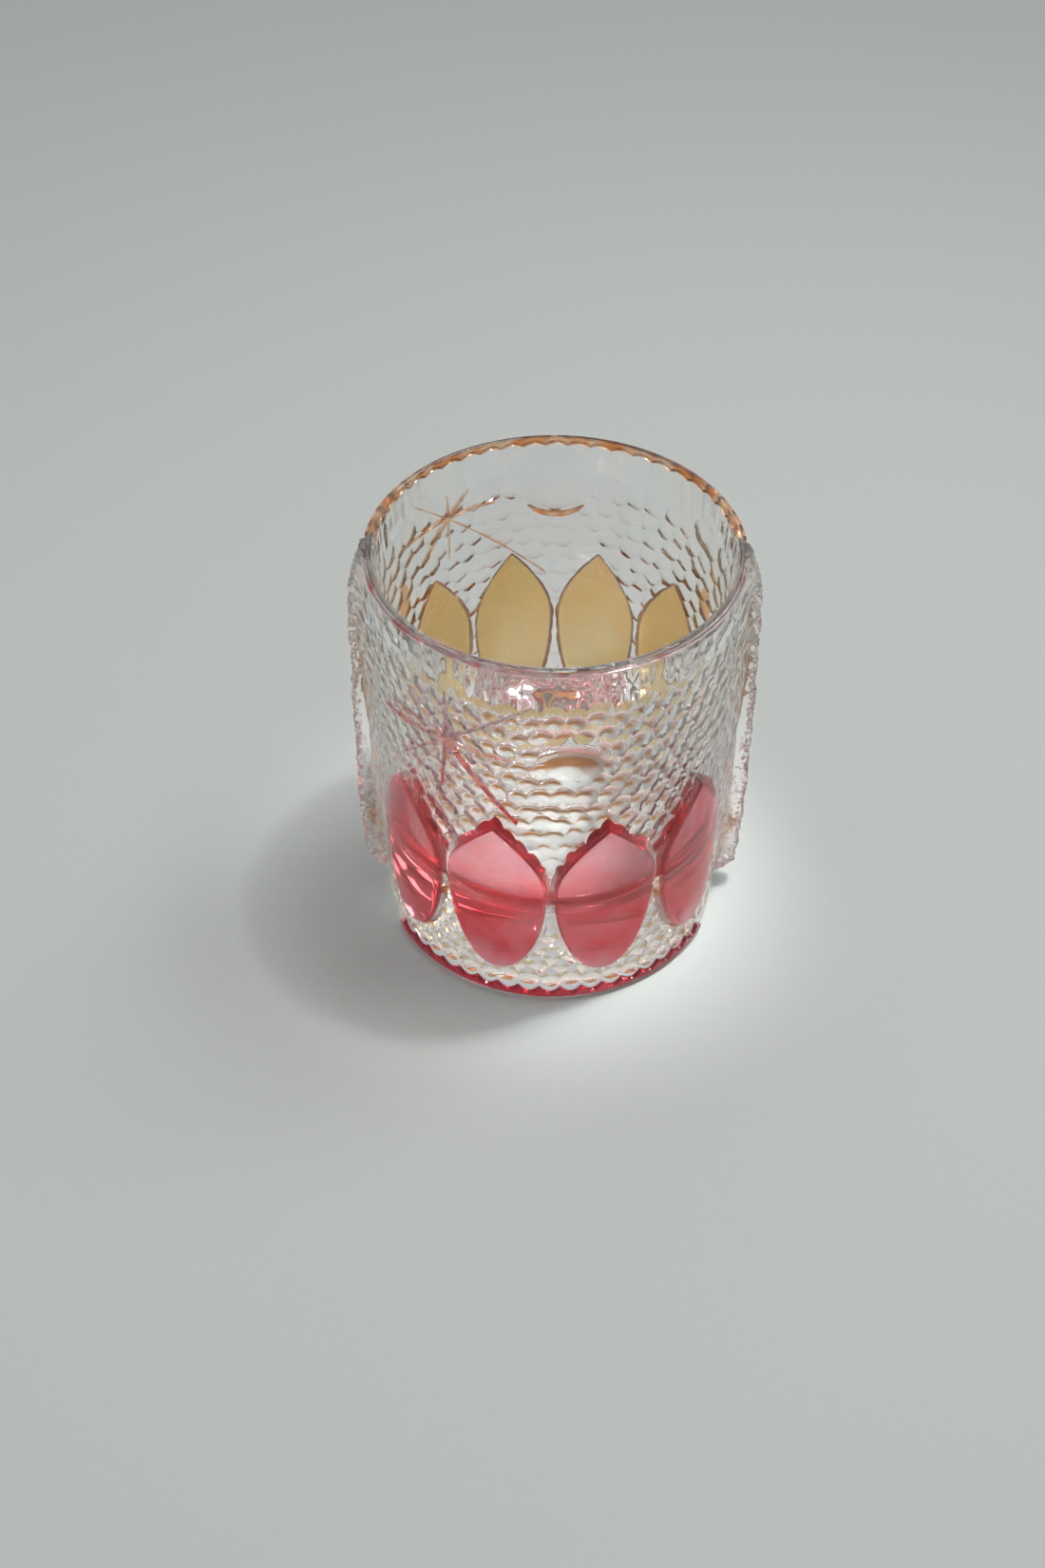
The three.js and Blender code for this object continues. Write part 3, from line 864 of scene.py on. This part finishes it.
def painted_amber_light(place, clear, colours):
    """The crystal's colour with painted amber light low at the back under the base, and with the flecks."""
    across, along, height = (place.axis(name) for name in "XYZ")
    reach = (across * across + along * along).root()
    behind = along.step(*AMBER_LIGHT_BEHIND)
    outer = reach.step(*AMBER_LIGHT_TO)
    peach = behind * outer * (1 - height.step(*PEACH_TOP))
    # strip is the painted amber light under the base, behind the middle
    strip = behind * reach.step(*AMBER_LIGHT_FROM) * (1 - outer) * (1 - height.step(*AMBER_LIGHT_TOP))
    tinted = (PEACH_SHARE * peach).mix(clear, rgba(colours.peach))
    aside = (abs(across) - FLECK_PLACE[0]) / FLECK_SIZE[0]
    away = (along - FLECK_PLACE[1]) / FLECK_SIZE[0]
    above = (height - FLECK_PLACE[2]) / FLECK_SIZE[1]
    fleck = 1 - (aside * aside + away * away + above * above).step(*FLECK_EDGE)
    tinted = fleck.mix(tinted, rgba(colours.rim_amber))
    return strip.mix(tinted, rgba(colours.trace))


# Glass finishes: the thin and the deep colour, the spread of the patches per metre, where the patches begin
# and end in the noise, and the rises of height in which the deep colour comes in and goes out again
FINISHES = {
    "cut_crystal": ("crystal", "grey_crystal", 60, (0.35, 0.65), None),
    "petal_ruby": ("pale_ruby", "ruby", 110, (0.35, 0.65), ((4 * MM, 20 * MM), (26 * MM, 46 * MM))),
    "foot_ruby": ("ruby", "deep_ruby", 200, (0.2, 0.5), None),
    "lip_ruby": ("pink", "ruby", 260, (0.5, 0.7), None),
    "star_ruby": ("pink", "ruby", 190, (0.42, 0.56), ((0, 1 * MM), (62 * MM, 80 * MM))),
    "star_amber": ("peach", "rim_amber", 190, (0.5, 0.7), None),
    # The amber petals are paler low down: painted light near the well's floor
    "petal_amber": ("pale_amber", "amber", 110, (0.35, 0.65), ((24 * MM, 56 * MM), (200 * MM, 201 * MM))),
    "rim_amber": ("peach", "rim_amber", 240, (0.44, 0.6), None),
    "foot_amber": ("amber", "rim_amber", 200, (0.3, 0.6), None),
}


def finish(colours, name):
    """One of the glass finishes, made when it is first asked for."""
    return bpy.data.materials.get(name) or glass_material(colours, name)


def glass_material(colours, name):
    """Polished glass whose colour runs deeper in patches and, with a fade, in a belt of height."""
    thin, deep, spread, patches, fade = FINISHES[name]
    material, place = new_material(name)
    clouds = place.noise(spread, detail=2.0)
    streaks = place.noise(spread * STREAK_SCALE, detail=4.0, roughness=0.6)
    share = (CLOUD_SHARE * clouds + (1 - CLOUD_SHARE) * streaks).step(*patches)
    if fade:
        height = place.axis("Z")
        belt = height.step(*fade[0]) * (1 - height.step(*fade[1]))
        share = (1 - FADE_SHARE) * share + FADE_SHARE * belt
    colour = share.mix(rgba(getattr(colours, thin)), rgba(getattr(colours, deep)))
    # The clear crystal gets painted amber light under its base at the back, and the flecks
    if name == "cut_crystal":
        colour = painted_amber_light(place, colour, colours)
    close_surface(
        place, Base_Color=colour, Roughness=POLISH + HAZE * streaks.step(*HAZE_PATCHES),
        Transmission_Weight=1.0, IOR=GLASS_IOR,
    )
    return material


WORN_FROM = 1.6 * MM  # where the fins' chipped strip begins, outside the rim
WORN_FADE = 1.0 * MM
WORN_ROUGHNESS = 0.08
FIN_LEAN = 0.1  # how far the strip leans outwards in its height
FIN_POLISH = 0.006
FLANK_CLOUDS = 80
FLANK_SHADE = 0.98  # how bright the greyer places of the flanks are
SPECK_SCALE = 700
SPECK_EDGE = (0.54, 0.6)
SPECK_SHARE = 0.75


def chipped_material(form, colours):
    """Clear flanks and a sugary, chipped edge with tinted specks that are darkened further as painted shade.
    """
    material, place = new_material("chipped_edge_crystal")
    reach = abs(place.axis("X")) - FIN_LEAN * (place.axis("Z") - form.sizes.height / 2)
    start = form.sizes.rim_radius + WORN_FROM
    worn = reach.step(start, start + WORN_FADE)
    # The specks are partly the glass's tint and partly painted shade of the chips' shadow sides
    specks = place.noise(SPECK_SCALE, detail=3.0, roughness=0.6).step(*SPECK_EDGE) * worn
    clouds = place.noise(FLANK_CLOUDS, detail=2.0)
    clear = clouds.mix(rgba(colours.crystal), rgba(colours.crystal, FLANK_SHADE))
    close_surface(
        place, Base_Color=(SPECK_SHARE * specks).mix(clear, rgba(colours.speck_and_shade)),
        Roughness=FIN_POLISH + WORN_ROUGHNESS * worn, Transmission_Weight=1.0, IOR=GLASS_IOR,
    )
    return material


FLOOR_GRAIN = 700
FLOOR_CLOUDS = 3
FLOOR_CLOUD_SHARE = 0.6
FLOOR_SHADES = (0.97, 1.03)  # how dark and how light the floor is in places
FLOOR_ROUGHNESS = 0.6
FLOOR_GRAIN_ROUGHNESS = 0.15
FLOOR_GLOSS = 0.2


def floor_material(colours):
    """A matt studio floor with a faint grain."""
    material, place = new_material("studio_floor")
    grain = place.noise(FLOOR_GRAIN, detail=3.0)
    clouds = place.noise(FLOOR_CLOUDS, detail=2.0)
    share = FLOOR_CLOUD_SHARE * clouds + (1 - FLOOR_CLOUD_SHARE) * grain
    close_surface(
        place, Base_Color=share.mix(*[rgba(colours.floor, shade) for shade in FLOOR_SHADES]),
        Roughness=FLOOR_ROUGHNESS + FLOOR_GRAIN_ROUGHNESS * grain, Specular_IOR_Level=FLOOR_GLOSS,
    )
    return material


# Operators

def settings(context):
    """The form and the colours that the user has set."""
    scene = context.scene
    return GlassForm(scene.rocks_glass_sizes), scene.rocks_glass_colours


class ROCKSGLASS_OT_crystal(bpy.types.Operator):
    """Builds the cut crystal body with its scales, lenses and petal seats"""

    bl_idname = "rocks_glass.crystal"
    bl_label = "Crystal Body"

    def execute(self, context):
        form, colours = settings(context)
        lenses = [lens_tool(form, *lens) for lens in (FRONT_LENS, BACK_LENS)]
        mesh = cut_mesh("seated_crystal", crystal_mesh(form), petal_seats(form), "UNION")
        mesh = cut_mesh("cut_crystal_body", mesh, lenses, "DIFFERENCE")
        add_piece(
            "cut_crystal_body", mesh, finish(colours, "cut_crystal"), ["crystal_body"], sharp=16
        )
        return {"FINISHED"}


class ROCKSGLASS_OT_fins(bpy.types.Operator):
    """Builds the two side fins with their chipped edges"""

    bl_idname = "rocks_glass.fins"
    bl_label = "Side Fins"

    def execute(self, context):
        form, colours = settings(context)
        material = chipped_material(form, colours)
        for node, side in (("fin_left", -1), ("fin_right", 1)):
            mesh = fin_shell(f"chipped_{node}", form, node, side)
            add_piece(f"chipped_{node}", mesh, material, [node], sharp=25)
        return {"FINISHED"}


class ROCKSGLASS_OT_petals(bpy.types.Operator):
    """Builds the ruby petals in front and the amber ones behind"""

    bl_idname = "rocks_glass.petals"
    bl_label = "Petal Panels"

    def execute(self, context):
        form, colours = settings(context)
        for nodes, levels, look, slot in (
            (RUBY_PETALS, RUBY_LEVELS, "petal_ruby", "ruby_casing"),
            (AMBER_PETALS, AMBER_LEVELS, "petal_amber", "amber_casing"),
        ):
            for node in nodes:
                mesh = petal_shell(f"{node}_panel", form, node, levels)
                add_piece(f"{node}_panel", mesh, finish(colours, look), [node])
        return {"FINISHED"}


class ROCKSGLASS_OT_bands(bpy.types.Operator):
    """Builds the casing bands at the rim and at the foot"""

    bl_idname = "rocks_glass.bands"
    bl_label = "Rim and Foot Bands"

    def execute(self, context):
        form, colours = settings(context)
        for node, make, depth, look, slot in (
            ("amber_rim_band", rim_band, RIM_SCALLOP, "rim_amber", "amber_casing"),
            ("ruby_lip_band", rim_band, 0.0, "lip_ruby", "ruby_casing"),
            ("ruby_foot_ring", foot_ring, FOOT_SCALLOP, "foot_ruby", "ruby_casing"),
            ("amber_foot_ring", foot_ring, FOOT_SCALLOP, "foot_amber", "amber_casing"),
        ):
            mesh = make(form, node, depth)
            add_piece(f"{node}_casing", mesh, finish(colours, look), [node], sharp=30)
        return {"FINISHED"}


class ROCKSGLASS_OT_stars(bpy.types.Operator):
    """Builds the crescent in the back lens and the two stars of thin ribs"""

    bl_idname = "rocks_glass.stars"
    bl_label = "Crescent and Stars"

    def execute(self, context):
        form, colours = settings(context)
        mesh = crescent_shell(form, "amber_crescent")
        add_piece(
            "amber_crescent_sliver", mesh, finish(colours, "rim_amber"), ["amber_crescent"],
            sharp=30,
        )
        for node, star, look, slot in (
            ("ruby_star", RUBY_STAR, "star_ruby", "ruby_casing"),
            ("amber_star", AMBER_STAR, "star_amber", "amber_casing"),
        ):
            mesh = star_shell(f"{node}_ribs", form, star)
            add_piece(f"{node}_ribs", mesh, finish(colours, look), [node], sharp=30)
        return {"FINISHED"}


# Stage

CAMERA_DISTANCE = 0.4792
CAMERA_PITCH = math.radians(44.55)
CAMERA_YAW = math.radians(0.813)
CAMERA_ROLL = math.radians(0.74)
CAMERA_TARGET = 0.03016
CAMERA_LENS = 48.0
CAMERA_SENSOR = 36.0
CAMERA_CLIP = (0.01, 50.0)
FLOOR_SIZE = 12.0
FLOOR_DROP = 0.15 * MM
# Soft square lamps: place, aim, size, power in watts and spread in degrees
LAMPS = {
    "key": ((0.9, 0.55, 1.25), (0.0, 0.0, 0.05), 0.4, 1.9, 180),
    "overhead": ((0.35, 0.125, 1.05), (0.0, 0.0, 0.0), 0.5, 0.6, 60),
    "well": ((0.09, 0.02, 0.4), (0.0, 0.0, 0.02), 0.06, 0.027, 14),
}
DOME_LEVEL = 0.34
DOME_OVERHEAD = 0.12  # what the dome gains from the horizon up to overhead
DOME_OVERHEAD_RISE = (0.0, 0.9)
DOME_BEHIND = 0.1  # what it gains behind the glass
DOME_BEHIND_RISE = (0.2, 0.9)
GLASS_BOUNCES = 32
GLOSSY_BOUNCES = 12


def add_camera():
    """A camera at the viewing angle of the photograph."""
    data = bpy.data.cameras.new("camera")
    data.lens = CAMERA_LENS
    data.sensor_width = CAMERA_SENSOR
    data.clip_start, data.clip_end = CAMERA_CLIP
    camera = bpy.data.objects.new("camera", data)
    bpy.context.collection.objects.link(camera)
    ahead = Vector((0, math.cos(CAMERA_PITCH), -math.sin(CAMERA_PITCH)))
    right = Vector((1, 0, 0))
    up = right.cross(ahead)
    turned = ahead * math.cos(CAMERA_YAW) - right * math.sin(CAMERA_YAW)
    right = right * math.cos(CAMERA_YAW) + ahead * math.sin(CAMERA_YAW)
    rolled = right * math.cos(CAMERA_ROLL) + up * math.sin(CAMERA_ROLL)
    up = up * math.cos(CAMERA_ROLL) - right * math.sin(CAMERA_ROLL)
    axes = Matrix((rolled, up, -turned)).transposed().to_4x4()
    axes.translation = Vector((0, 0, CAMERA_TARGET)) - ahead * CAMERA_DISTANCE
    camera.matrix_world = axes
    bpy.context.scene.camera = camera


def add_lamp(name, place, aim, size, power, spread):
    """A soft square lamp that faces its aim."""
    data = bpy.data.lights.new(name, "AREA")
    data.size = size
    data.energy = power
    data.spread = math.radians(spread)
    lamp = bpy.data.objects.new(name, data)
    bpy.context.collection.objects.link(lamp)
    lamp.location = place
    lamp.rotation_mode = "QUATERNION"
    lamp.rotation_quaternion = (Vector(aim) - Vector(place)).to_track_quat("-Z", "Y")


def add_dome():
    """A soft dome: bright overhead and behind, greyer at the horizon and in front."""
    world = bpy.data.worlds.new("studio_dome")
    world.use_nodes = True
    world.node_tree.nodes.clear()
    bpy.context.scene.world = world
    place = Wire(world.node_tree).node("ShaderNodeTexCoord", out="Generated")
    overhead = place.axis("Z").step(*DOME_OVERHEAD_RISE)
    behind = place.axis("Y").step(*DOME_BEHIND_RISE)
    level = DOME_LEVEL + DOME_OVERHEAD * overhead + DOME_BEHIND * behind
    dome = place.node("ShaderNodeBackground", Color=(1.0, 1.0, 1.0, 1.0), Strength=level)
    place.node("ShaderNodeOutputWorld", Surface=dome)


def add_floor(colours):
    """The plain floor that the glass stands on."""
    half = FLOOR_SIZE / 2
    corners = [(x * half, y * half, -FLOOR_DROP) for x, y in ((-1, -1), (1, -1), (1, 1), (-1, 1))]
    mesh = bpy.data.meshes.new("studio_floor")
    mesh.from_pydata(corners, [], [(0, 1, 2, 3)])
    mesh.materials.append(floor_material(colours))
    floor = bpy.data.objects.new("studio_floor", mesh)
    bpy.context.collection.objects.link(floor)


class ROCKSGLASS_OT_stage(bpy.types.Operator):
    """Adds the floor, the light and the camera"""

    bl_idname = "rocks_glass.stage"
    bl_label = "Studio Stage"

    def execute(self, context):
        _, colours = settings(context)
        add_floor(colours)
        add_dome()
        for name, lamp in LAMPS.items():
            add_lamp(name, *lamp)
        add_camera()
        scene = context.scene
        scene.view_settings.view_transform = "Standard"
        scene.cycles.sample_clamp_indirect = 0.0
        scene.cycles.max_bounces = GLASS_BOUNCES
        scene.cycles.transmission_bounces = GLASS_BOUNCES
        scene.cycles.glossy_bounces = GLOSSY_BOUNCES
        return {"FINISHED"}


class ROCKSGLASS_PT_panel(bpy.types.Panel):
    """Sizes, colours and the steps that build the glass"""

    bl_idname = "ROCKSGLASS_PT_panel"
    bl_label = "Rocks Glass"
    bl_space_type = "VIEW_3D"
    bl_region_type = "UI"
    bl_category = "Rocks Glass"

    def draw(self, context):
        scene = context.scene
        for group in (scene.rocks_glass_sizes, scene.rocks_glass_colours):
            box = self.layout.box()
            for name in group.__annotations__:
                box.prop(group, name)
        for operator in OPERATORS:
            self.layout.operator(operator.bl_idname)


OPERATORS = (
    ROCKSGLASS_OT_crystal,
    ROCKSGLASS_OT_fins,
    ROCKSGLASS_OT_petals,
    ROCKSGLASS_OT_bands,
    ROCKSGLASS_OT_stars,
    ROCKSGLASS_OT_stage,
)
CLASSES = (GlassSizes, GlassColours, *OPERATORS, ROCKSGLASS_PT_panel)


def register():
    """Registers the classes and adds the settings to the scene."""
    for cls in CLASSES:
        bpy.utils.register_class(cls)
    bpy.types.Scene.rocks_glass_sizes = PointerProperty(type=GlassSizes)
    bpy.types.Scene.rocks_glass_colours = PointerProperty(type=GlassColours)


def unregister():
    """Takes the settings and the classes away again."""
    del bpy.types.Scene.rocks_glass_colours
    del bpy.types.Scene.rocks_glass_sizes
    for cls in reversed(CLASSES):
        bpy.utils.unregister_class(cls)


def main():
    """Builds the glass and its stage."""
    register()
    bpy.ops.rocks_glass.crystal()
    bpy.ops.rocks_glass.fins()
    bpy.ops.rocks_glass.petals()
    bpy.ops.rocks_glass.bands()
    bpy.ops.rocks_glass.stars()
    bpy.ops.rocks_glass.stage()
    bpy.context.view_layer.update()


if __name__ == "__main__":
    main()
